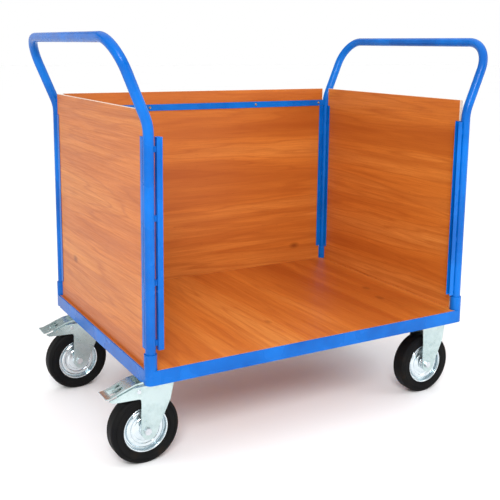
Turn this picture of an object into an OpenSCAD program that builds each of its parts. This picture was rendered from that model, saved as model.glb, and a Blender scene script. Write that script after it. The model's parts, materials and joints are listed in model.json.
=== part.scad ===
// Three-sided platform trolley: a welded steel frame with a flush wooden deck, two tubular push hoops
// that stand in corner sockets, three wooden walls held in channels, two braked swivel castors at the
// left end and two fixed castors at the right end.
// Millimetres. The floor is Z = 0, X runs along the platform, and the open side faces -Y.

/* [Platform] */
// Distance between the hoop legs along the platform
post_span_x = 1076; // [900:1:1400]
// Distance between the hoop legs across the platform
post_span_y = 760; // [640:1:900]
// Height of the frame rails
rail_h = 40; // [36:1:60]
// Width of the rails' lower leg
rail_leg = 40; // [38:1:60]
// Steel thickness of the rails
rail_t = 4; // [3:0.5:5]
// Thickness of the wooden deck
deck_t = 16; // [12:1:18]

/* [Hoops] */
// Outside diameter of the hoop tube
tube_d = 28; // [25:1:30]
// Wall of the hoop tube
tube_t = 2; // [1.5:0.5:3]
// Outside diameter of the corner sockets
socket_d = 35; // [35:1:42]
// How far the sockets stand above the deck
socket_rise = 44; // [30:1:70]
// Height of the push bar's centreline above the floor
handle_z = 1160; // [1100:1:1250]
// Height at which the hoop legs start to lean out
lean_z = 920; // [900:1:940]
// Angle that the upper hoop leans out by, in degrees
lean = 22.5; // [15:0.5:25]
// Centreline radius of the bend into the lean
lean_r = 120; // [100:5:150]
// Centreline radius of the hoop's two corners
corner_r = 92; // [70:1:100]

/* [Walls] */
// Thickness of the wooden walls
wall_t = 12; // [8:1:12]
// Height of the wooden walls
wall_h = 680; // [600:5:700]
// Depth of the channels' flanges
flange_d = 16; // [14:1:20]
// Steel thickness of the channels
channel_t = 1.5; // [1:0.5:2]
// Gap between a hoop leg and its channel, bridged by welded lugs
channel_gap = 6; // [5:1:10]

/* [Castors] */
// Diameter of the wheels
wheel_d = 200; // [180:1:200]
// Width of the tyres
tyre_w = 50; // [40:1:50]
// Height from the floor to the top of the castor plates
castor_h = 260; // [255:1:270]
// Distance from a swivel axis back to its axle
trail = 45; // [40:1:50]
// Distance of the castors from the middle along the platform
castor_x = 480; // [300:1:482]
// Distance of the castors from the middle across the platform
castor_y = 290; // [200:1:300]
// Outside width of the forks
fork_w = 68; // [68:1:74]

/* [Hidden] */
$fn = 64;
BLUE = [0.05, 0.36, 0.86];
WOOD = [0.83, 0.55, 0.31];
ZINC = [0.80, 0.83, 0.85];
BLACK = [0.06, 0.06, 0.06];
BRASS = [0.85, 0.68, 0.30];

px = post_span_x / 2;
py = post_span_y / 2;
tube_r = tube_d / 2;
socket_r = socket_d / 2;
socket_bore_r = tube_r + 0.5;
frame_x = px + socket_r;          // outer faces of the frame
frame_y = py + socket_r;
frame_z = castor_h;               // underside of the frame
deck_z = frame_z + rail_h;        // top of the deck
weld_gap = 0.1;                   // root gap between welded pieces
hair = 0.15;                      // extra wall thickness of the bent stretches
seat = 0.5;                       // how far the straights run into the bends

channel_in = wall_t + 1;          // clear width of a channel
channel_out = channel_in + 2 * channel_t;
channel_face = tube_r + channel_gap;          // from a leg's axis to the back of a channel
wall_edge = channel_face + channel_t + 0.8;   // from a leg's axis to a wall's edge
channel_z0 = deck_z + socket_rise + 8;
channel_z1 = lean_z - 6;
lug_heights = [channel_z0 + 20, channel_z0 + 183, channel_z0 + 353, channel_z1 - 31];
lug_size = [channel_gap, 7, 16];

brace_h = 22;                     // flat bar across the back wall
brace_t = 3;
brace_z = lean_z + 5.5;
brace_screws = [-px + 42, -213, 213, px - 42];

bearer_w = 40;                    // cross bearers under the deck
bearer_t = 3;
bearer_h = rail_h - deck_t;
bolt_span_x = 105;                // castor bolt pattern
bolt_span_y = 84;
bearer_x = castor_x - bolt_span_x / 2;
screw_r = 2.3;                    // deck and brace screws
screw_hole_r = 2.6;
screw_depth = 9;                  // how far the deck screws run into the board
cleat = [30, 24, 4];              // lugs that carry the deck's edges
cleat_x = [-330, -150, 150, 330];
cleat_y = [-180, 180];

wheel_r = wheel_d / 2;
rim_r = wheel_r * 0.655;
plate = [140, 110, 5];
bolt_r = 4;
axle_r = 6;
hub_r = 17;
hub_half = fork_w / 2 - 4.2;
fork_t = 3.5;
fork_top = castor_h - 22;
head_r = 37;
kingpin_r = 7;
pivot = [22 - 45, 218];           // brake pivot, measured from the axle along X and from the floor
pivot_r = 4;

// ---- helpers ----

// Points along an arc, its angles in degrees
function arc(centre, r, from, to, steps = 6) = [for (i = [0:steps])
    let (a = from + (to - from) * i / steps) centre + r * [cos(a), sin(a)]];

function reverse(list) = [for (i = [len(list) - 1:-1:0]) list[i]];

module at_corners() {
    for (sx = [-1, 1], sy = [-1, 1]) translate([sx * px, sy * py, 0]) children();
}

// Stands a 2D outline, drawn in X and Z, up in the XZ plane, t thick and centred on Y = y
module upright(y, t) {
    translate([0, y + t / 2, 0]) rotate([90, 0, 0]) linear_extrude(height = t) children();
}

// Block that stands on Z = 0, centred in X and Y
module centred_bar(size) {
    translate([-size[0] / 2, -size[1] / 2, 0]) cube(size);
}

module rod_y(r, y0, y1) {
    translate([0, y0, 0]) rotate([-90, 0, 0]) cylinder(r = r, h = y1 - y0);
}

module hexagon(across, h) {
    cylinder(r = across / 2 / cos(30), h = h, $fn = 6);
}

// Rectangle with round corners, centred
module round_rect(size, r) {
    square([size[0] - 2 * r, size[1]], center = true);
    square([size[0], size[1] - 2 * r], center = true);
    for (sx = [-1, 1], sy = [-1, 1])
        translate([sx * (size[0] / 2 - r), sy * (size[1] / 2 - r)]) circle(r = r);
}

// ---- platform frame ----

// One angle rail along X: outer face at -Y, lower leg turned inwards, ends coped round the sockets
module angle_rail(half_length, half_width) {
    difference() {
        translate([-half_length, -half_width, frame_z]) {
            cube([2 * half_length, rail_t, rail_h]);
            cube([2 * half_length, rail_leg, rail_t]);
        }
        for (s = [-1, 1]) translate([s * half_length, -half_width + socket_r, frame_z - 1])
            cylinder(r = socket_r + weld_gap, h = rail_h + 2);
    }
}

module long_rail(side) {
    color(BLUE) mirror([0, side > 0 ? 1 : 0, 0]) angle_rail(px, frame_y);
}

// End rails butt against the long rails' lower legs
module end_rail(side) {
    color(BLUE) difference() {
        rotate([0, 0, side > 0 ? 90 : -90]) angle_rail(py, frame_x);
        for (s = [-1, 1]) translate([-frame_x - 1, s * frame_y - rail_leg - weld_gap, frame_z - 1])
            cube([2 * frame_x + 2, 2 * (rail_leg + weld_gap), rail_t + 1.5]);
        castor_holes(bolt_r + 0.5);
    }
}

module corner_sockets() {
    color(BLUE) at_corners() translate([0, 0, frame_z]) difference() {
        cylinder(r = socket_r, h = rail_h + socket_rise);
        translate([0, 0, 3]) cylinder(r = socket_bore_r, h = rail_h + socket_rise);
    }
}

// Upturned channels across the frame: the castors bolt to the webs, the deck lies on the flanges
module cross_bearers() {
    length = 2 * (frame_y - rail_leg - weld_gap);
    color(BLUE) difference() {
        for (x = [-bearer_x, 0, bearer_x]) translate([x - bearer_w / 2, -length / 2, frame_z])
            difference() {
                cube([bearer_w, length, bearer_h]);
                translate([bearer_t, -1, bearer_t])
                    cube([bearer_w - 2 * bearer_t, length + 2, bearer_h]);
            }
        castor_holes(bolt_r + 0.5);
    }
}

module deck_cleats() {
    out_x = frame_x - rail_t - weld_gap;
    out_y = frame_y - rail_t - weld_gap;
    color(BLUE) translate([0, 0, deck_z - deck_t - cleat[2]]) difference() {
        union() {
            for (x = cleat_x, s = [-1, 1]) translate([x, s * (out_y - cleat[1] / 2), 0])
                centred_bar([cleat[0], cleat[1], cleat[2]]);
            for (y = cleat_y, s = [-1, 1]) translate([s * (out_x - cleat[1] / 2), y, 0])
                centred_bar([cleat[1], cleat[0], cleat[2]]);
        }
        translate([0, 0, cleat[2] - deck_z + deck_t]) deck_screw_places()
            translate([0, 0, -cleat[2] - 1]) cylinder(r = screw_hole_r, h = cleat[2] + 2);
    }
}

module deck_screw_places() {
    inset = rail_t + cleat[1] / 2;
    translate([0, 0, deck_z - deck_t]) {
        for (x = cleat_x, s = [-1, 1]) translate([x, s * (frame_y - inset), 0]) children();
        for (y = cleat_y, s = [-1, 1]) translate([s * (frame_x - inset), y, 0]) children();
    }
}

module deck_board() {
    gap = rail_t + 0.5;
    color(WOOD) difference() {
        translate([-frame_x + gap, -frame_y + gap, deck_z - deck_t])
            cube([2 * (frame_x - gap), 2 * (frame_y - gap), deck_t]);
        at_corners() translate([0, 0, deck_z - deck_t - 1]) {
            cylinder(r = socket_r + 1, h = deck_t + 2);
        }
        deck_screw_places() translate([0, 0, -1]) cylinder(r = screw_r + 0.1, h = screw_depth + 2);
    }
}

// Pan-head wood screws, driven up through the cleats
module deck_screws() {
    color(ZINC) deck_screw_places() {
        translate([0, 0, -cleat[2]]) cylinder(r = screw_r, h = cleat[2] + screw_depth);
        translate([0, 0, -cleat[2] - 2.6]) cylinder(r1 = 3.4, r2 = 4.5, h = 2.6);
    }
}

// ---- push hoops ----

// Section of the tube; bent stretches are a little thicker, so that the straights end inside them
module ring(extra = 0) {
    difference() {
        circle(r = tube_r + extra);
        circle(r = tube_r - tube_t - extra);
    }
}

module straight_tube(length) {
    translate([0, 0, -seat]) linear_extrude(height = length + 2 * seat) ring();
}

// Tube bent about the Y axis, starting upright at the origin and leaning towards +X
module bent_tube(radius, angle) {
    translate([radius, 0, 0]) rotate([90, 0, 180]) rotate_extrude(angle = angle, $fn = 96)
        translate([radius, 0]) ring(hair);
}

// One leg up to the end of its corner, with the leg's axis at the origin
module hoop_leg() {
    foot = frame_z + 3.5;
    rise = (handle_z - lean_z - lean_r * sin(lean)) / cos(lean);
    translate([0, 0, foot]) straight_tube(lean_z - foot);
    translate([0, 0, lean_z]) bent_tube(lean_r, lean);
    translate([lean_r * (1 - cos(lean)), 0, lean_z + lean_r * sin(lean)]) rotate([0, lean, 0]) {
        straight_tube(rise - corner_r);
        translate([0, 0, rise - corner_r]) rotate([0, 0, 90]) bent_tube(corner_r, 90);
    }
}

module push_hoop(side) {
    reach = lean_r * (1 - cos(lean)) + (handle_z - lean_z - lean_r * sin(lean)) * tan(lean);
    color(BLUE) mirror([side < 0 ? 1 : 0, 0, 0]) {
        translate([px, -py, 0]) hoop_leg();
        mirror([0, 1, 0]) translate([px, -py, 0]) hoop_leg();
        translate([px + reach, -py + corner_r, handle_z]) rotate([-90, 0, 0])
            straight_tube(2 * (py - corner_r));
    }
}

// ---- walls and their channels ----

module end_wall(side) {
    half = py - wall_edge;
    color(WOOD) translate([side * px - wall_t / 2, -half, deck_z]) cube([wall_t, 2 * half, wall_h]);
}

module back_wall() {
    half = px - wall_edge;
    color(WOOD) difference() {
        translate([-half, py - wall_t / 2, deck_z]) cube([2 * half, wall_t, wall_h]);
        for (x = brace_screws) translate([x, 0, brace_z]) rod_y(screw_hole_r, py - wall_t, py + wall_t);
    }
}

// One U channel on the +X side of a leg at the origin, open towards +X
module channel() {
    difference() {
        translate([channel_face, -channel_out / 2, channel_z0])
            cube([flange_d, channel_out, channel_z1 - channel_z0]);
        translate([channel_face + channel_t, -channel_in / 2, channel_z0 - 1])
            cube([flange_d, channel_in, channel_z1 - channel_z0 + 2]);
    }
}

module wall_channels_end(side) {
    color(BLUE) translate([side * px, 0, 0]) for (s = [-1, 1])
        translate([0, s * py, 0]) rotate([0, 0, -s * 90]) channel();
}

module wall_channels_back() {
    color(BLUE) for (s = [-1, 1])
        translate([s * px, py, 0]) rotate([0, 0, s < 0 ? 0 : 180]) channel();
}

module open_channel(side) {
    color(BLUE) translate([side * px, -py, 0]) rotate([0, 0, side < 0 ? 0 : 180]) channel();
}

// Welded lugs between a leg at the origin and a channel on its +X side
module leg_lugs() {
    difference() {
        for (z = lug_heights) translate([tube_r - 1, -lug_size[1] / 2, z - lug_size[2] / 2])
            cube([lug_size[0] + 1 - weld_gap / 2, lug_size[1], lug_size[2]]);
        translate([0, 0, channel_z0]) cylinder(r = tube_r + weld_gap / 2, h = channel_z1 - channel_z0);
    }
}

module hoop_lugs(side) {
    color(BLUE) translate([side * px, 0, 0]) for (s = [-1, 1]) translate([0, s * py, 0]) {
        rotate([0, 0, -s * 90]) leg_lugs();
        rotate([0, 0, side < 0 ? 0 : 180]) leg_lugs();
    }
}

// Flat bar across the inside of the back wall, from leg to leg
module back_wall_brace() {
    y = py - wall_t / 2 - brace_t;
    color(BLUE) difference() {
        translate([-px, y, brace_z - brace_h / 2]) cube([2 * px, brace_t - weld_gap, brace_h]);
        for (s = [-1, 1]) translate([s * px, py, brace_z - brace_h])
            cylinder(r = tube_r + 0.6, h = 2 * brace_h);
        for (x = brace_screws) translate([x, 0, brace_z]) rod_y(screw_hole_r, y - 1, py);
    }
}

module brace_screws() {
    face = py - wall_t / 2 - brace_t;
    color(BRASS) for (x = brace_screws) translate([x, 0, brace_z]) {
        rod_y(screw_r, face - 0.5, py + wall_t / 2 + 6.5);
        translate([0, face, 0]) rotate([90, 0, 0]) cylinder(r1 = 4.6, r2 = 3, h = 2.4);
    }
}

module brace_nuts() {
    color(ZINC) for (x = brace_screws) translate([x, py + wall_t / 2, brace_z]) rotate([-90, 0, 0])
        difference() {
            union() {
                cylinder(r = 6, h = 1);
                translate([0, 0, 1]) hexagon(8, 4);
            }
            translate([0, 0, -1]) cylinder(r = screw_r + 0.1, h = 7);
        }
}

// ---- castors ----
// Castor pieces are drawn with the swivel axis or plate centre on the Z axis.

module at_castor(side_x, side_y) {
    translate([side_x * castor_x, side_y * castor_y, 0]) children();
}

module bolt_places() {
    for (sx = [-1, 1], sy = [-1, 1])
        translate([sx * bolt_span_x / 2, sy * bolt_span_y / 2, 0]) children();
}

module castor_holes(r) {
    for (sx = [-1, 1], sy = [-1, 1]) at_castor(sx, sy) bolt_places()
        translate([0, 0, frame_z - 10]) cylinder(r = r, h = 20, $fn = 32);
}

module castor_bolts() {
    head = 5.3;
    color(ZINC) for (sx = [-1, 1], sy = [-1, 1]) at_castor(sx, sy) bolt_places() {
        translate([0, 0, frame_z - plate[2] - head]) hexagon(13, head);
        translate([0, 0, frame_z - plate[2] - 1]) cylinder(r = bolt_r, h = plate[2] + 16);
    }
}

module castor_nuts() {
    color(ZINC) for (sx = [-1, 1], sy = [-1, 1]) at_castor(sx, sy) bolt_places()
        translate([0, 0, frame_z + rail_t]) difference() {
            union() {
                cylinder(r = 8, h = 1.6);
                translate([0, 0, 1.6]) hexagon(13, 6.5);
            }
            translate([0, 0, -1]) cylinder(r = bolt_r + 0.1, h = 10);
        }
}

module castor_plate_blank() {
    translate([0, 0, frame_z - plate[2]]) difference() {
        linear_extrude(height = plate[2]) round_rect(plate, 10);
        bolt_places() translate([0, 0, -1]) cylinder(r = bolt_r + 0.5, h = plate[2] + 2, $fn = 32);
    }
}

module castor_plate() {
    color(ZINC) difference() {
        union() {
            castor_plate_blank();
            translate([0, 0, frame_z - plate[2] - 4]) cylinder(r1 = 30, r2 = 34, h = 4.5);
        }
        translate([0, 0, frame_z - 20]) cylinder(r = kingpin_r + 0.2, h = 30);
    }
}

// Dust ring over the ball race, fixed to the fork's head
module swivel_race() {
    color(ZINC) rotate_extrude() polygon([[head_r - 4, fork_top + 0.1], [head_r, fork_top + 2],
        [head_r + 1.5, fork_top + 9], [head_r - 1, fork_top + 11.5], [kingpin_r + 7, fork_top + 11.5],
        [kingpin_r + 7, fork_top + 0.1]]);
}

module kingpin() {
    color(ZINC) union() {
        translate([0, 0, fork_top - 12]) cylinder(r = kingpin_r, h = castor_h - fork_top + 11.5);
        translate([0, 0, fork_top - fork_t - 9.1]) hexagon(19, 9);
    }
}

// Direction from c of the point where a line from p touches a circle at c, on its right-hand side
function touch_angle(p, c, r) = atan2(p[1] - c[1], p[0] - c[0]) - acos(r / norm(p - c));

fork_foot = [5, 96];
fork_foot_r = 22;

// Round foot of a fork leg, from its left edge round to the line that runs up to the shoulder
function foot_outline(shoulder) =
    arc(fork_foot, fork_foot_r, 180, 360 + touch_angle(shoulder, fork_foot, fork_foot_r), 24);

// Side of a swivel fork, with X from the axle and Z from the floor: a leg, and an arm for the brake
module swivel_side() {
    shoulder = [69, 180];
    head = [[78, 220], [82, fork_top], [-16, fork_top]];
    arm = [[-38, 232], [-64, 222.5], [-90, 213], [-106, 209], [-108, 206.5], [-98, 200]];
    polygon(concat(foot_outline(shoulder), [shoulder], head, arm, arc([-25, 189], 8, 90, 0)));
}

// Side of a fixed fork
module fixed_side() {
    shoulder = [63, 176];
    polygon(concat(foot_outline(shoulder), [shoulder, [70, 222], [72, frame_z - 4], [-24, frame_z - 4]]));
}

// Folded sheet as wide as the fork, with its bends at the top, running along X
module fork_blank(top, bend_r) {
    length = 260;
    translate([-length / 2, 0, 0]) rotate([90, 0, 90]) linear_extrude(height = length) difference() {
        fork_arch(fork_w / 2, top, bend_r);
        fork_arch(fork_w / 2 - fork_t, top - fork_t, bend_r - fork_t);
    }
}

module fork_arch(half, top, bend_r) {
    translate([-half, 0]) square([2 * half, top - bend_r]);
    translate([-half + bend_r, 0]) square([2 * (half - bend_r), top]);
    for (s = [-1, 1]) translate([s * (half - bend_r), top - bend_r]) circle(r = bend_r);
}

module swivel_fork() {
    // The head is open over the arms, so that the brake pedal can drop between them
    head_back = trail - head_r - 6;
    color(ZINC) translate([-trail, 0, 0]) difference() {
        intersection() {
            fork_blank(fork_top, 10);
            upright(0, fork_w + 2) swivel_side();
        }
        translate([-130, -fork_w / 2 + fork_t, 150]) cube([130 + head_back, fork_w - 2 * fork_t, 120]);
        translate([0, 0, wheel_r]) rod_y(axle_r + 0.1, -fork_w, fork_w);
        translate([pivot[0], 0, pivot[1]]) rod_y(pivot_r + 0.1, -fork_w, fork_w);
        translate([trail, 0, fork_top - 30]) cylinder(r = kingpin_r + 0.1, h = 60);
    }
}

module fixed_fork() {
    color(ZINC) difference() {
        union() {
            castor_plate_blank();
            intersection() {
                fork_blank(frame_z - plate[2] - 0.001 + 0.5, 8);
                upright(0, fork_w + 2) fixed_side();
            }
        }
        translate([0, 0, wheel_r]) rod_y(axle_r + 0.1, -fork_w, fork_w);
    }
}

// Bolt through both legs, head towards -Y, with its nut on the far side
module axle_bolt(back) {
    half = fork_w / 2;
    color(ZINC) translate([-back, 0, wheel_r]) {
        rod_y(axle_r, -half - 1, half + 10);
        translate([0, -half, 0]) rotate([90, 15, 0]) hexagon(18, 7);
        translate([0, half, 0]) rotate([-90, 0, 0]) cylinder(r = 11, h = 1.5);
        translate([0, half + 1.5, 0]) rotate([-90, 0, 0]) hexagon(18, 8);
    }
}

// Tube that the wheel's rollers run on, clamped between the fork legs
module axle_sleeve(back) {
    half = fork_w / 2 - fork_t - 0.05;
    color(ZINC) translate([-back, 0, wheel_r]) difference() {
        rod_y(axle_r + 4, -half, half);
        rod_y(axle_r + 0.1, -half - 1, half + 1);
    }
}

// Pressed steel wheel: two dished discs and a rim bed, hollow between them
module rim(back) {
    bed = tyre_w / 2 - 3;
    color(ZINC) translate([-back, 0, wheel_r]) rotate([90, 0, 0]) rotate_extrude($fn = 96) difference() {
        rim_outline(bed, 0);
        rim_outline(bed, 2.4);
    }
}

// Section of the wheel as [radius, width]; a shell above 0 gives the hollow inside its sheet
module rim_outline(bed, shell) {
    disc = [[axle_r + 4.1, hub_half - 3], [hub_r, hub_half - 3], [hub_r + 3, 18.5], [rim_r - 33, 17.5],
        [rim_r - 31, 15.5], [rim_r - 24, 15.5], [rim_r - 22, 17.5], [rim_r - 15, 18],
        [rim_r - 11, 15.5], [rim_r - 9.5, 9], [rim_r - 6, 9], [rim_r - 4.5, bed - 1]];
    lip = [[rim_r - 3.5, bed + 1], [rim_r - 0.8, bed + 1.5], [rim_r - 0.2, bed], [rim_r - 1.4, bed - 3]];
    half = shell == 0 ? concat(disc, lip)
        : concat([for (p = disc) if (p[0] > hub_r - 1 && p[0] < rim_r - 5) [p[0], p[1] - shell]],
            [[rim_r - 3.8, 9 - shell]]);
    polygon(concat(half, [for (p = reverse(half)) [p[0], -p[1]]]));
}

module tyre(back) {
    half = tyre_w / 2;
    inner = rim_r - 0.9;
    color(BLACK) translate([-back, 0, wheel_r]) rotate([90, 0, 0]) rotate_extrude($fn = 128)
        difference() {
            union() {
                polygon([[inner, -half + 6.2], [rim_r + 1, -half + 1.4], [rim_r + 4, -half + 0.5],
                    [wheel_r - 22, -half], [wheel_r - 7, -half + 0.8], [wheel_r - 2.2, -half + 4],
                    [wheel_r, -half + 10], [wheel_r, half - 10], [wheel_r - 2.2, half - 4],
                    [wheel_r - 7, half - 0.8], [wheel_r - 22, half], [rim_r + 4, half - 0.5],
                    [rim_r + 1, half - 1.4], [inner, half - 6.2]]);
            }
            for (s = [-1, 1]) translate([wheel_r - 9, s * half]) circle(r = 1.2, $fn = 16);
        }
}

// ---- brakes ----

pedal_half = fork_w / 2 - fork_t - 1.2;
pedal_t = 2.5;

// Top line of the pedal, with X from the axle and Z from the floor
pedal_line = [[-8, 243], [-34, 239.5], [-62, 230], [-84, 220.5], [-100, 215], [-108, 213.5], [-116, 213.6]];

module pedal_strip(drop, line = pedal_line) {
    polygon(concat(line, [for (p = reverse(line)) [p[0] - 0.2, p[1] - drop]]));
}

module brake_pedal() {
    cheek_t = 2;
    cheek_line = [for (p = pedal_line) if (p[0] > -90) p];
    color(ZINC) translate([-trail, 0, 0]) difference() {
        union() {
            upright(0, 2 * pedal_half) pedal_strip(pedal_t);
            for (s = [-1, 1]) upright(s * (pedal_half - cheek_t / 2), cheek_t) {
                pedal_strip(8, cheek_line);
                translate(pivot) circle(r = 8);
                polygon([[-8, 243], [-34, 239.5], [-48, 234], pivot + [-8, -1], pivot + [8, -1]]);
            }
        }
        translate([-98, -17, 190]) cube([36, 12, 60]);
        translate([-98, -17, 190]) cube([10, 34, 60]);
        translate([-98, 5, 190]) cube([36, 12, 60]);
        translate([pivot[0], 0, pivot[1]]) rod_y(pivot_r + 0.15, -fork_w, fork_w);
    }
}

// Pad and its leaf, riveted under the pedal
module brake_shoe() {
    axle = [0, wheel_r];
    color(ZINC) translate([-trail, 0, 0]) upright(0, 26) polygon(concat(
        arc(axle, wheel_r + 7.5, 124, 108), [[-33, 208], [-38, 212]], arc(axle, wheel_r + 12, 112, 120),
        [[-50, 226], [-46, 230.5], [-30, 234.2], [-30, 236.2], [-48, 232.3], [-54, 227], [-62, 196]]));
}

module brake_pin() {
    half = fork_w / 2;
    color(ZINC) translate([-trail + pivot[0], 0, pivot[1]]) {
        rod_y(pivot_r, -half - 0.5, half + 0.5);
        rotate([90, 0, 0]) translate([0, 0, half]) cylinder(r1 = 6.5, r2 = 5.5, h = 1.6);
        rotate([-90, 0, 0]) translate([0, 0, half]) cylinder(r1 = 6.5, r2 = 5.5, h = 1.6);
    }
}

// ---- nodes ----

long_rail(-1);  // front_rail
long_rail(1);  // back_rail
end_rail(-1);  // left_rail
end_rail(1);  // right_rail
corner_sockets();
cross_bearers();
deck_cleats();
deck_board();
deck_screws();
push_hoop(-1);  // left_push_hoop
push_hoop(1);  // right_push_hoop
end_wall(-1);  // left_wall
end_wall(1);  // right_wall
back_wall();
wall_channels_end(-1);  // left_wall_channels
wall_channels_end(1);  // right_wall_channels
wall_channels_back();  // back_wall_channels
open_channel(-1);  // front_left_open_channel
open_channel(1);  // front_right_open_channel
hoop_lugs(-1);  // left_hoop_lugs
hoop_lugs(1);  // right_hoop_lugs
back_wall_brace();
brace_screws();
brace_nuts();
castor_bolts();
castor_nuts();

for (end = [["front_left", -1], ["back_left", 1]]) at_castor(-1, end[1]) {
    castor_plate();
    swivel_race();
    kingpin();
    swivel_fork();
    axle_bolt(trail);
    axle_sleeve(trail);
    rim(trail);
    tyre(trail);
    brake_pedal();
    brake_shoe();
    brake_pin();
}

for (end = [["front_right", -1], ["back_right", 1]]) at_castor(1, end[1]) {
    fixed_fork();
    axle_bolt(0);
    axle_sleeve(0);
    rim(0);
    tyre(0);
}
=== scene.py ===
# Looks for the three-sided platform trolley: refined meshes over the CAD frame, procedural materials,
# weld beads, a pale studio floor and the camera. Metres; the frame's origin is on the floor.

import bmesh
import bpy
import json
import math
from mathutils import Matrix, Vector


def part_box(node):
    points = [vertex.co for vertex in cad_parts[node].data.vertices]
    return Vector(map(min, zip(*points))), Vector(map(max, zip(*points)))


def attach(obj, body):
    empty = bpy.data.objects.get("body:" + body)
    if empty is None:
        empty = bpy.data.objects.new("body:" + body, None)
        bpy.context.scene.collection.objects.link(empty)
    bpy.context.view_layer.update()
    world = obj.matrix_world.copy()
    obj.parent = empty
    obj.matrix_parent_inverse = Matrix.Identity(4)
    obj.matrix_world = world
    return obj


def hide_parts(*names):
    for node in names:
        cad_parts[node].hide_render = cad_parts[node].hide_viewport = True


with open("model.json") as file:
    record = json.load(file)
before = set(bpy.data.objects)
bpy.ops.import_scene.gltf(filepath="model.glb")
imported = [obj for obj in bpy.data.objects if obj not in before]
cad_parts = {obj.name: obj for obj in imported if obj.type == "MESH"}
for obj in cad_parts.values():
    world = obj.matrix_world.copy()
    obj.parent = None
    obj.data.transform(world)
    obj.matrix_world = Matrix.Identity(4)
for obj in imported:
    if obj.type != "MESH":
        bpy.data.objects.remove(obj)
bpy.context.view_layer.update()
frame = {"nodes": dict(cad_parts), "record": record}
record = frame["record"]
body_of_node = {node: body for body, nodes in record["behaviour"]["bodies"].items() for node in nodes}
slot_of_node = {entry["node"]: entry["material_slot"] for entry in record["subparts"]}

# ---- sizes, in metres ----

TUBE_RADIUS = 0.014
SOCKET_RADIUS = 0.0175
HANDLE_Z = 1.160          # centreline of the push bar
LEAN_Z = 0.920            # where the hoop's legs start to lean out
LEAN_ANGLE = math.radians(22.5)
LEAN_RADIUS = 0.120
CORNER_RADIUS = 0.092
TYRE_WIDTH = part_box("front_left_tyre")[1].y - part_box("front_left_tyre")[0].y
WHEEL_RADIUS = 0.100
RIM_RADIUS = 0.0655
SAME_POINT = 2e-6         # points closer than this are one point
WELD_INSET = 0.001        # how far a weld stops short of the edge it runs beside
LUG_BEAD_RADIUS = 0.0013
SOCKET_BEAD_RADIUS = 0.0012
RIPPLE_PITCH = 0.0016     # one ripple of weld metal


# ---- materials ----

class NodeTree:
    """A short way to write a material's node tree."""

    def __init__(self, name):
        self.material = bpy.data.materials.new(name)
        self.material.use_nodes = True
        self.tree = self.material.node_tree
        self.shader = self.tree.nodes["Principled BSDF"]
        self.place = self.add("ShaderNodeTexCoord").outputs["Object"]

    def add(self, kind, **settings):
        node = self.tree.nodes.new(kind)
        for key, value in settings.items():
            setattr(node, key, value)
        return node

    def link(self, source, target):
        self.tree.links.new(source, target)

    def stretched(self, scale):
        """The object's coordinates multiplied by scale, so that a pattern runs along one axis."""
        mapping = self.add("ShaderNodeMapping")
        mapping.inputs["Scale"].default_value = scale
        self.link(self.place, mapping.inputs["Vector"])
        return mapping.outputs["Vector"]

    def noise(self, scale, detail=4.0, roughness=0.55, distortion=0.0, stretch=(1, 1, 1)):
        node = self.add("ShaderNodeTexNoise")
        node.inputs["Scale"].default_value = scale
        node.inputs["Detail"].default_value = detail
        node.inputs["Roughness"].default_value = roughness
        node.inputs["Distortion"].default_value = distortion
        self.link(self.stretched(stretch), node.inputs["Vector"])
        return node.outputs["Fac"]

    def remap(self, value, low, high, to_low, to_high):
        node = self.add("ShaderNodeMapRange")
        for key, number in (("From Min", low), ("From Max", high), ("To Min", to_low), ("To Max", to_high)):
            node.inputs[key].default_value = number
        self.link(value, node.inputs["Value"])
        return node.outputs["Result"]

    def math(self, operation, a, b):
        node = self.add("ShaderNodeMath", operation=operation)
        for socket, value in zip(node.inputs, (a, b)):
            if isinstance(value, (int, float)):
                socket.default_value = value
            else:
                self.link(value, socket)
        return node.outputs["Value"]

    def ramp(self, value, stops):
        node = self.add("ShaderNodeValToRGB")
        elements = node.color_ramp.elements
        while len(elements) < len(stops):
            elements.new(0.5)
        for element, (position, colour) in zip(elements, stops):
            element.position = position
            element.color = (*colour, 1)
        self.link(value, node.inputs["Fac"])
        return node.outputs["Color"]

    def mix(self, factor, a, b, blend="MIX"):
        node = self.add("ShaderNodeMix", data_type="RGBA", blend_type=blend)
        for socket, value in ((node.inputs["Factor"], factor), (node.inputs["A"], a), (node.inputs["B"], b)):
            if isinstance(value, (int, float)):
                socket.default_value = value
            elif isinstance(value, tuple):
                socket.default_value = (*value, 1)
            else:
                self.link(value, socket)
        return node.outputs["Result"]

    def bump(self, height, distance, strength=1.0, under=None):
        node = self.add("ShaderNodeBump")
        node.inputs["Strength"].default_value = strength
        node.inputs["Distance"].default_value = distance
        self.link(height, node.inputs["Height"])
        if under is not None:
            self.link(under, node.inputs["Normal"])
        return node.outputs["Normal"]

    def finish(self, colour, roughness, normal, metallic=0.0, coat=0.0, coat_roughness=0.1):
        self.link(colour, self.shader.inputs["Base Color"])
        self.link(roughness, self.shader.inputs["Roughness"])
        self.link(normal, self.shader.inputs["Normal"])
        self.shader.inputs["Metallic"].default_value = metallic
        self.shader.inputs["Coat Weight"].default_value = coat
        self.shader.inputs["Coat Roughness"].default_value = coat_roughness
        return self.material


def gloss_paint(name, deep, bright):
    """Powder coat: a faint orange peel, cloudy colour, and a dusting of fine scuffs."""
    t = NodeTree(name)
    clouds = t.noise(7, detail=3)
    colour = t.ramp(clouds, ((0.3, deep), (0.7, bright)))
    scuffs = t.noise(60, detail=8, roughness=0.75, stretch=(1, 1, 0.25))
    marks = t.remap(scuffs, 0.68, 0.82, 0.0, 0.16)
    colour = t.mix(marks, colour, (0.20, 0.38, 0.72))
    roughness = t.math("ADD", t.remap(clouds, 0.3, 0.7, 0.22, 0.32), marks)
    normal = t.bump(t.noise(420, detail=2), distance=0.00035, strength=0.35)
    t.shader.inputs["Specular IOR Level"].default_value = 0.15
    return t.finish(colour, roughness, normal, coat=0.08, coat_roughness=0.06)


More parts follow.
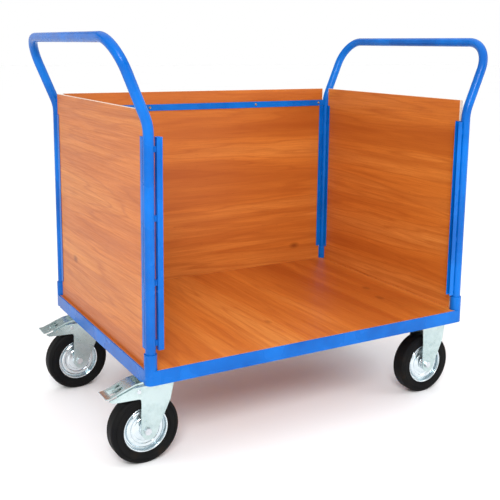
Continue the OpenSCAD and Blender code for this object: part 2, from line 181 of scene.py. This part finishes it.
def wood_board(name, grain_axis, thick_axis, pale, middle, dark, edge):
    """Laminated beech board: grain along one axis, small knots, and ply lines on the cut edges."""
    t = NodeTree(name)

    def along_grain(amount):
        return tuple(amount if axis == grain_axis else 1.0 for axis in range(3))

    flow = t.noise(5.5, detail=4, roughness=0.5, distortion=0.15, stretch=along_grain(0.07))
    streaks = t.noise(38, detail=5, roughness=0.65, distortion=0.2, stretch=along_grain(0.045))
    rings = t.math("PINGPONG", t.math("MULTIPLY", flow, 34.0), 1.0)
    fibres = t.noise(420, detail=5, roughness=0.7, stretch=along_grain(0.016))
    colour = t.ramp(flow, ((0.32, dark), (0.47, middle), (0.70, pale)))
    colour = t.mix(t.remap(streaks, 0.40, 0.66, 0.45, 0.0), colour, dark)
    colour = t.mix(t.remap(rings, 0.62, 1.0, 0.0, 0.42), colour, dark)
    colour = t.mix(t.remap(fibres, 0.44, 0.70, 0.0, 0.50), colour, dark)
    flecks = t.remap(t.noise(760, detail=2, stretch=along_grain(0.06)), 0.66, 0.76, 0.0, 0.50)
    colour = t.mix(flecks, colour, tuple(c * 0.45 for c in dark))
    knots = t.add("ShaderNodeTexVoronoi")
    knots.inputs["Scale"].default_value = 5.0
    t.link(t.stretched(along_grain(0.55)), knots.inputs["Vector"])
    knot = t.remap(knots.outputs["Distance"], 0.015, 0.075, 0.75, 0.0)
    colour = t.mix(knot, colour, tuple(c * 0.55 for c in dark))
    faces = t.add("ShaderNodeSeparateXYZ")
    t.link(t.add("ShaderNodeNewGeometry").outputs["True Normal"], faces.inputs["Vector"])
    across = t.math("ABSOLUTE", faces.outputs[thick_axis], 0.0)
    cut = t.remap(across, 0.55, 0.75, 1.0, 0.0)
    layer_place = t.add("ShaderNodeSeparateXYZ")
    t.link(t.place, layer_place.inputs["Vector"])
    layers = t.math("PINGPONG", layer_place.outputs[thick_axis], 0.0011)
    plies = t.mix(t.remap(layers, 0.0002, 0.0009, 0.0, 0.35), edge, middle)
    plies = t.mix(t.remap(t.noise(340, detail=4), 0.4, 0.7, 0.0, 0.25), plies, dark)
    colour = t.mix(cut, colour, plies)
    roughness = t.remap(fibres, 0.3, 0.7, 0.34, 0.50)
    normal = t.bump(fibres, distance=0.0004, strength=0.30)
    normal = t.bump(flecks, distance=-0.0003, strength=0.5, under=normal)
    t.shader.inputs["Specular IOR Level"].default_value = 0.3
    return t.finish(colour, roughness, normal, coat=0.04, coat_roughness=0.25)


def plated_steel(name, pale, shade, rough_low, rough_high, spangle=90):
    """Bright zinc: faint cloudy patches, drawn lines and a few dull marks."""
    t = NodeTree(name)
    cells = t.add("ShaderNodeTexVoronoi")
    cells.inputs["Scale"].default_value = spangle
    t.link(t.place, cells.inputs["Vector"])
    patches = t.math("ADD", t.math("MULTIPLY", cells.outputs["Distance"], 0.25), t.noise(14, detail=4))
    colour = t.ramp(patches, ((0.30, shade), (0.75, pale)))
    dirt = t.remap(t.noise(48, detail=9, roughness=0.8), 0.64, 0.82, 0.0, 0.22)
    colour = t.mix(dirt, colour, tuple(c * 0.5 for c in shade))
    lines = t.noise(700, detail=3, stretch=(1, 1, 0.04))
    clean = t.remap(patches, 0.3, 0.8, rough_high, rough_low)
    roughness = t.math("ADD", clean, t.math("MULTIPLY", dirt, 0.4))
    normal = t.bump(lines, distance=0.0001, strength=0.20)
    normal = t.bump(t.noise(160, detail=3), distance=0.0003, strength=0.06, under=normal)
    return t.finish(colour, roughness, normal, metallic=0.90)


def solid_rubber(name):
    """Dull black rubber with a brown bloom, dust and a fine moulded texture."""
    t = NodeTree(name)
    bloom = t.noise(18, detail=6, roughness=0.65)
    clean, worn, dusty = (0.004, 0.004, 0.005), (0.007, 0.007, 0.007), (0.026, 0.017, 0.011)
    colour = t.ramp(bloom, ((0.30, clean), (0.60, worn), (0.85, dusty)))
    dust = t.remap(t.noise(110, detail=8, roughness=0.8), 0.66, 0.86, 0.0, 0.10)
    colour = t.mix(dust, colour, (0.12, 0.10, 0.08))
    t.shader.inputs["Specular IOR Level"].default_value = 0.08
    roughness = t.remap(bloom, 0.3, 0.8, 0.50, 0.70)
    normal = t.bump(t.noise(900, detail=4), distance=0.0003, strength=0.35)
    return t.finish(colour, roughness, normal)


def brass(name):
    t = NodeTree(name)
    tarnish = t.noise(180, detail=6)
    colour = t.ramp(tarnish, ((0.35, (0.30, 0.19, 0.07)), (0.65, (0.70, 0.50, 0.20))))
    roughness = t.remap(tarnish, 0.3, 0.7, 0.42, 0.24)
    normal = t.bump(t.noise(1500, detail=2), distance=0.0001, strength=0.3)
    return t.finish(colour, roughness, normal, metallic=1.0)


BEECH = {"pale": (0.75, 0.30, 0.066), "middle": (0.61, 0.180, 0.025), "dark": (0.37, 0.078, 0.008),
         "edge": (0.90, 0.80, 0.66)}
end_board = wood_board("end_board", 1, 0, **BEECH)
back_board = wood_board("back_board", 0, 1, **BEECH)
deck_wood = wood_board("deck_wood", 1, 2, **BEECH)
SLOT_MATERIAL = {
    "blue_paint": gloss_paint("blue_gloss_paint", (0.0, 0.085, 0.38), (0.0, 0.150, 0.58)),
    "wall_board": end_board,
    "deck_board": deck_wood,
    "castor_zinc": plated_steel("castor_zinc", (0.54, 0.65, 0.65), (0.38, 0.49, 0.49), 0.20, 0.32),
    "wheel_zinc": plated_steel("wheel_zinc", (0.74, 0.81, 0.84), (0.56, 0.64, 0.68), 0.08, 0.16, spangle=60),
    "fastener_zinc": plated_steel("fastener_zinc", (0.72, 0.75, 0.78), (0.45, 0.48, 0.52),
                                  0.26, 0.40, spangle=300),
    "tyre_rubber": solid_rubber("tyre_rubber"),
    "brass": brass("screw_brass"),
}


def material_of(node):
    return back_board if node == "back_wall" else SLOT_MATERIAL[slot_of_node[node]]


# ---- mesh tools ----

def new_object(name, mesh):
    thing = bpy.data.objects.new(name, mesh)
    bpy.context.scene.collection.objects.link(thing)
    return thing


def stand_for(thing, node):
    """Shows a piece in place of a CAD node, on the same body and in the same material slot."""
    thing.data.materials.clear()
    thing.data.materials.append(material_of(node))
    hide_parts(node)
    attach(thing, body_of_node[node])


def smooth_by_angle(mesh, degrees):
    """Smooth shading that stays sharp where two faces meet at more than this angle."""
    mesh.shade_smooth()
    work = bmesh.new()
    work.from_mesh(mesh)
    for edge in work.edges:
        edge.smooth = not edge.is_manifold or edge.calc_face_angle(0) < math.radians(degrees)
    work.to_mesh(mesh)
    work.free()


def soften(node, width, segments=3):
    """A copy of a CAD node with its flat faces made whole and its sharp edges rounded inwards."""
    source = frame["nodes"][node]
    mesh = source.data.copy()
    work = bmesh.new()
    work.from_mesh(mesh)
    bmesh.ops.remove_doubles(work, verts=work.verts, dist=SAME_POINT)
    flat = math.radians(0.6)
    bmesh.ops.dissolve_limit(work, angle_limit=flat, verts=work.verts, edges=work.edges)
    sharp = [e for e in work.edges if e.is_manifold and e.calc_face_angle(0) > math.radians(38)]
    bmesh.ops.bevel(work, geom=sharp, offset=width, offset_type="OFFSET", segments=segments,
                    profile=0.5, affect="EDGES", clamp_overlap=True)
    work.to_mesh(mesh)
    work.free()
    thing = new_object(node + "_shown", mesh)
    smooth_by_angle(mesh, 34)
    normals = thing.modifiers.new("face_weighted_normals", "WEIGHTED_NORMAL")
    normals.keep_sharp = True
    stand_for(thing, node)
    return thing


def mesh_from(name, points, faces, sharp_above=40):
    mesh = bpy.data.meshes.new(name)
    mesh.from_pydata(points, [], faces)
    work = bmesh.new()
    work.from_mesh(mesh)
    bmesh.ops.recalc_face_normals(work, faces=work.faces)
    work.to_mesh(mesh)
    work.free()
    smooth_by_angle(mesh, sharp_above)
    return new_object(name, mesh)


def lathe(name, profile, centre, segments=160, sharp_above=40):
    """Turns a closed profile of (radius, offset) points about an axis along Y through the centre."""
    points = []
    faces = []
    count = len(profile)
    for step in range(segments):
        angle = 2 * math.pi * step / segments
        out = Vector((math.cos(angle), 0, math.sin(angle)))
        points += [centre + out * r + Vector((0, y, 0)) for r, y in profile]
        ahead = (step + 1) % segments * count
        here = step * count
        for i in range(count):
            after = (i + 1) % count
            faces.append((here + i, here + after, ahead + after, ahead + i))
    return mesh_from(name, points, faces, sharp_above)


def sweep(name, path, radius_at, sides=32):
    """A round bar along a path, with its ends closed. radius_at gives the radius at each step."""
    points = []
    faces = []
    side = None
    for i, place in enumerate(path):
        ahead = path[min(i + 1, len(path) - 1)] - path[max(i - 1, 0)]
        ahead.normalize()
        if side is None:
            side = ahead.orthogonal().normalized()
        side = (side - ahead * side.dot(ahead)).normalized()
        up = ahead.cross(side)
        for k in range(sides):
            angle = 2 * math.pi * k / sides
            points.append(place + radius_at(i) * (math.cos(angle) * side + math.sin(angle) * up))
    for i in range(len(path) - 1):
        for k in range(sides):
            a = i * sides + k
            b = i * sides + (k + 1) % sides
            faces.append((a, b, b + sides, a + sides))
    last = (len(path) - 1) * sides
    faces.append(tuple(range(sides))[::-1])
    faces.append(tuple(last + k for k in range(sides)))
    return mesh_from(name, points, faces, sharp_above=50)


def joined(name, things):
    """One object made of several meshes."""
    work = bmesh.new()
    for thing in things:
        work.from_mesh(thing.data)
        old = thing.data
        bpy.data.objects.remove(thing)
        bpy.data.meshes.remove(old)
    mesh = bpy.data.meshes.new(name)
    work.to_mesh(mesh)
    work.free()
    return new_object(name, mesh)


# ---- push hoops ----

def hoop_path(side):
    """Centreline of a hoop from its front foot, over the push bar, to its back foot."""
    low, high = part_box("left_push_hoop" if side < 0 else "right_push_hoop")
    leg_x = (high.x - TUBE_RADIUS) if side < 0 else (low.x + TUBE_RADIUS)
    leg_y = high.y - TUBE_RADIUS
    rise = (HANDLE_Z - LEAN_Z - LEAN_RADIUS * math.sin(LEAN_ANGLE)) / math.cos(LEAN_ANGLE)
    up_slope = Vector((math.sin(LEAN_ANGLE), 0, math.cos(LEAN_ANGLE)))
    inward = Vector((0, 1, 0))
    half = [Vector((0, 0, low.z)), Vector((0, 0, (low.z + LEAN_Z) / 2)), Vector((0, 0, LEAN_Z - 0.01))]
    for step in range(13):
        a = LEAN_ANGLE * step / 12
        half.append(Vector((LEAN_RADIUS * (1 - math.cos(a)), 0, LEAN_Z + LEAN_RADIUS * math.sin(a))))
    bend_end = half[-1]
    corner = bend_end + up_slope * (rise - CORNER_RADIUS) + inward * CORNER_RADIUS
    for step in range(25):
        a = math.pi / 2 * step / 24
        half.append(corner + CORNER_RADIUS * (up_slope * math.sin(a) - inward * math.cos(a)))
    front = [Vector((leg_x + side * p.x, p.y - leg_y, p.z)) for p in half]
    back = [Vector((p.x, -p.y, p.z)) for p in reversed(front)]
    return front + back


for name, side in (("left_push_hoop", -1), ("right_push_hoop", 1)):
    stand_for(sweep(name + "_shown", hoop_path(side), lambda i: TUBE_RADIUS, sides=48), name)


# ---- wheels ----

def rounded(points, radius, steps=5):
    """The closed outline with each corner rounded by an arc-like curve."""
    out = []
    for i, p in enumerate(points):
        before = Vector(points[i - 1])
        after = Vector(points[(i + 1) % len(points)])
        here = Vector(p)
        back = (before - here)
        ahead = (after - here)
        r = min(radius, back.length * 0.45, ahead.length * 0.45)
        a = here + back.normalized() * r
        b = here + ahead.normalized() * r
        for k in range(steps + 1):
            f = k / steps
            out.append(tuple(a * (1 - f) ** 2 + here * 2 * f * (1 - f) + b * f ** 2))
    return out


def tyre_profile():
    half = TYRE_WIDTH / 2
    side = [(RIM_RADIUS - 0.0009, half - 0.0062), (RIM_RADIUS + 0.0012, half - 0.0013),
            (RIM_RADIUS + 0.0045, half - 0.0004), (RIM_RADIUS + 0.0052, half - 0.0014),
            (RIM_RADIUS + 0.0064, half - 0.0014), (RIM_RADIUS + 0.0072, half),
            (WHEEL_RADIUS - 0.0142, half), (WHEEL_RADIUS - 0.0136, half - 0.0012),
            (WHEEL_RADIUS - 0.0124, half - 0.0012), (WHEEL_RADIUS - 0.0118, half - 0.0001),
            (WHEEL_RADIUS - 0.0075, half - 0.0008), (WHEEL_RADIUS - 0.0022, half - 0.0040),
            (WHEEL_RADIUS, half - 0.0100)]
    return rounded(side + [(r, -y) for r, y in reversed(side)], 0.0012)


def rim_profile():
    bed = TYRE_WIDTH / 2 - 0.003
    side = [(0.0101, 0.0268), (0.0170, 0.0268), (0.0200, 0.0185), (RIM_RADIUS - 0.033, 0.0175),
            (RIM_RADIUS - 0.031, 0.0155), (RIM_RADIUS - 0.024, 0.0155), (RIM_RADIUS - 0.022, 0.0175),
            (RIM_RADIUS - 0.015, 0.0180), (RIM_RADIUS - 0.011, 0.0155), (RIM_RADIUS - 0.0095, 0.0090),
            (RIM_RADIUS - 0.006, 0.0090), (RIM_RADIUS - 0.0045, bed - 0.001),
            (RIM_RADIUS - 0.0035, bed + 0.001), (RIM_RADIUS - 0.0008, bed + 0.0015),
            (RIM_RADIUS - 0.0002, bed), (RIM_RADIUS - 0.0014, bed - 0.003)]
    return rounded(side + [(r, -y) for r, y in reversed(side)], 0.0011)


CORNERS = ("front_left", "back_left", "front_right", "back_right")
for corner in CORNERS:
    low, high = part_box(corner + "_tyre")
    axle = Vector(((low.x + high.x) / 2, (low.y + high.y) / 2, WHEEL_RADIUS))
    stand_for(lathe(corner + "_tyre_shown", tyre_profile(), axle), corner + "_tyre")
    stand_for(lathe(corner + "_rim_shown", rim_profile(), axle), corner + "_rim")


# ---- welds ----

def bead(start, end, radius):
    """A rippled line of weld metal between two points."""
    ripples = max(4, round((end - start).length / RIPPLE_PITCH))
    path = [start.lerp(end, i / (2 * ripples)) for i in range(2 * ripples + 1)]
    return sweep("bead", path, lambda i: radius * (1.0 if i % 2 else 0.78), sides=8)


def add_welds(name, beads):
    thing = joined(name, beads)
    smooth_by_angle(thing.data, 60)
    thing.data.materials.append(SLOT_MATERIAL["blue_paint"])
    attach(thing, "trolley")


def separate_solids(work):
    """The lowest and highest corners of each separate solid in a mesh."""
    boxes = []
    left = set(work.verts)
    while left:
        island = set()
        reach = [left.pop()]
        while reach:
            vert = reach.pop()
            island.add(vert)
            for edge in vert.link_edges:
                other = edge.other_vert(vert)
                if other in left:
                    left.remove(other)
                    reach.append(other)
        low = Vector([min(v.co[k] for v in island) for k in range(3)])
        high = Vector([max(v.co[k] for v in island) for k in range(3)])
        boxes.append((low, high))
    return boxes


def lug_welds(node):
    """Two upright beads beside each lug's root on the hoop leg and on the channel."""
    socket_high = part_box("corner_sockets")[1]
    leg_x = socket_high.x - SOCKET_RADIUS
    leg_y = socket_high.y - SOCKET_RADIUS
    work = bmesh.new()
    work.from_mesh(frame["nodes"][node].data)
    bmesh.ops.remove_doubles(work, verts=work.verts, dist=SAME_POINT)
    beads = []
    for low, high in separate_solids(work):
        middle = (low + high) / 2
        long_axis = 0 if leg_x - abs(middle.x) > leg_y - abs(middle.y) else 1
        wide_axis = 1 - long_axis
        for along in (low[long_axis] + 0.0012, high[long_axis] - 0.0006):
            for wide in (low[wide_axis], high[wide_axis]):
                start = Vector((0, 0, low.z + WELD_INSET))
                start[long_axis] = along
                start[wide_axis] = wide
                end = start.copy()
                end.z = high.z - WELD_INSET
                beads.append(bead(start, end, LUG_BEAD_RADIUS))
    work.free()
    return beads


add_welds("left_hoop_lug_welds", lug_welds("left_hoop_lugs"))
add_welds("right_hoop_lug_welds", lug_welds("right_hoop_lugs"))


def socket_welds():
    """Upright beads where the rails meet the corner sockets."""
    beads = []
    socket_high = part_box("corner_sockets")[1]
    rail_low, rail_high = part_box("front_rail")
    low_end = Vector((0, 0, rail_low.z + 2 * WELD_INSET))
    high_end = Vector((0, 0, rail_high.z - 2 * WELD_INSET))
    for sx in (-1, 1):
        for sy in (-1, 1):
            centre = Vector((sx * (socket_high.x - SOCKET_RADIUS), sy * (socket_high.y - SOCKET_RADIUS), 0))
            for out in (Vector((-sx, 0, 0)), Vector((0, -sy, 0))):
                across = Vector((0, sy, 0)) if out.x else Vector((sx, 0, 0))
                foot = centre + across * (SOCKET_RADIUS - 0.0022) + out * 0.0030
                beads.append(bead(foot + low_end, foot + high_end, SOCKET_BEAD_RADIUS))
    return beads


add_welds("socket_welds", socket_welds())


# ---- every other piece: the CAD shape with softened edges ----

EDGE = {"blue_paint": 0.0006, "wall_board": 0.0012, "deck_board": 0.0010, "castor_zinc": 0.0006,
        "wheel_zinc": 0.0004, "fastener_zinc": 0.0004, "brass": 0.0003, "tyre_rubber": 0.0008}
done = {"left_push_hoop", "right_push_hoop"} | {c + part for c in CORNERS for part in ("_tyre", "_rim")}
for node in frame["nodes"]:
    frame["nodes"][node].data.materials.clear()
    frame["nodes"][node].data.materials.append(material_of(node))
    if node not in done:
        soften(node, EDGE[slot_of_node[node]])


# ---- studio ----

def studio_floor():
    t = NodeTree("studio_floor")
    haze = t.noise(1.3, detail=3)
    colour = t.ramp(haze, ((0.2, (0.93, 0.93, 0.93)), (0.8, (0.96, 0.96, 0.96))))
    roughness = t.remap(haze, 0.2, 0.8, 0.75, 0.9)
    t.finish(colour, roughness, t.bump(t.noise(300), distance=0.0002, strength=0.05))
    mesh = bpy.data.meshes.new("studio_floor")
    reach = 40                # half the floor's side
    corners = [(-reach, -reach, 0), (reach, -reach, 0), (reach, reach, 0), (-reach, reach, 0)]
    mesh.from_pydata(corners, [], [(0, 1, 2, 3)])
    mesh.materials.append(t.material)
    floor = new_object("studio_floor", mesh)


def lamp(name, place, target, size, power):
    light = bpy.data.lights.new(name, "AREA")
    light.shape = "DISK"
    light.size = size
    light.energy = power
    thing = new_object(name, light)
    thing.location = place
    thing.rotation_euler = (Vector(target) - Vector(place)).to_track_quat("-Z", "Y").to_euler()


def studio_world():
    """A white room with a darker band high on its walls, which bright metal and gloss paint reflect."""
    world = bpy.data.worlds.new("studio")
    world.use_nodes = True
    tree = world.node_tree
    direction = tree.nodes.new("ShaderNodeTexCoord")
    height = tree.nodes.new("ShaderNodeSeparateXYZ")
    tree.links.new(direction.outputs["Generated"], height.inputs["Vector"])
    bands = tree.nodes.new("ShaderNodeValToRGB")
    tree.links.new(height.outputs["Z"], bands.inputs["Fac"])
    elements = bands.color_ramp.elements
    stops = ((0.0, 0.77), (0.24, 0.77), (0.34, 0.12), (0.46, 0.12), (0.56, 1.0))
    while len(elements) < len(stops):
        elements.new(0.5)
    for element, (position, level) in zip(elements, stops):
        element.position = position
        element.color = (level, level, level, 1)
    tree.links.new(bands.outputs["Color"], tree.nodes["Background"].inputs["Color"])
    tree.nodes["Background"].inputs["Strength"].default_value = 1.3
    bpy.context.scene.world = world


studio_floor()
studio_world()
lamp("key_light", (-2.2, -3.6, 3.2), (0, 0, 0.5), 1.6, 150)
lamp("fill_light", (3.4, -2.6, 2.2), (0, 0, 0.5), 2.6, 30)


# ---- camera ----

CAMERA_PLACE = Vector((-1.3375, -2.2746, 1.1426))
CAMERA_YAW = math.radians(30.03)      # turned from +Y towards +X
CAMERA_PITCH = math.radians(-10.0)
CAMERA_ROLL = math.radians(0.64)
SENSOR_WIDTH = 36.0                   # millimetres
FOCAL_RATIO = 1.640                   # focal length over sensor width
LENS_SHIFT = -0.12
camera_data = bpy.data.cameras.new("camera")
camera_data.sensor_width = SENSOR_WIDTH
camera_data.lens = SENSOR_WIDTH * FOCAL_RATIO
camera_data.shift_y = LENS_SHIFT
camera = new_object("camera", camera_data)
level = Vector((math.sin(CAMERA_YAW), math.cos(CAMERA_YAW), 0))
forward = level * math.cos(CAMERA_PITCH) + Vector((0, 0, math.sin(CAMERA_PITCH)))
level_right = Vector((math.cos(CAMERA_YAW), -math.sin(CAMERA_YAW), 0))
level_up = level_right.cross(forward)
right = math.cos(CAMERA_ROLL) * level_right + math.sin(CAMERA_ROLL) * level_up
up = right.cross(forward)
turn = Matrix((right, up, -forward)).transposed()
camera.matrix_world = Matrix.Translation(CAMERA_PLACE) @ turn.to_4x4()
bpy.context.scene.camera = camera
bpy.context.scene.view_settings.view_transform = "Standard"
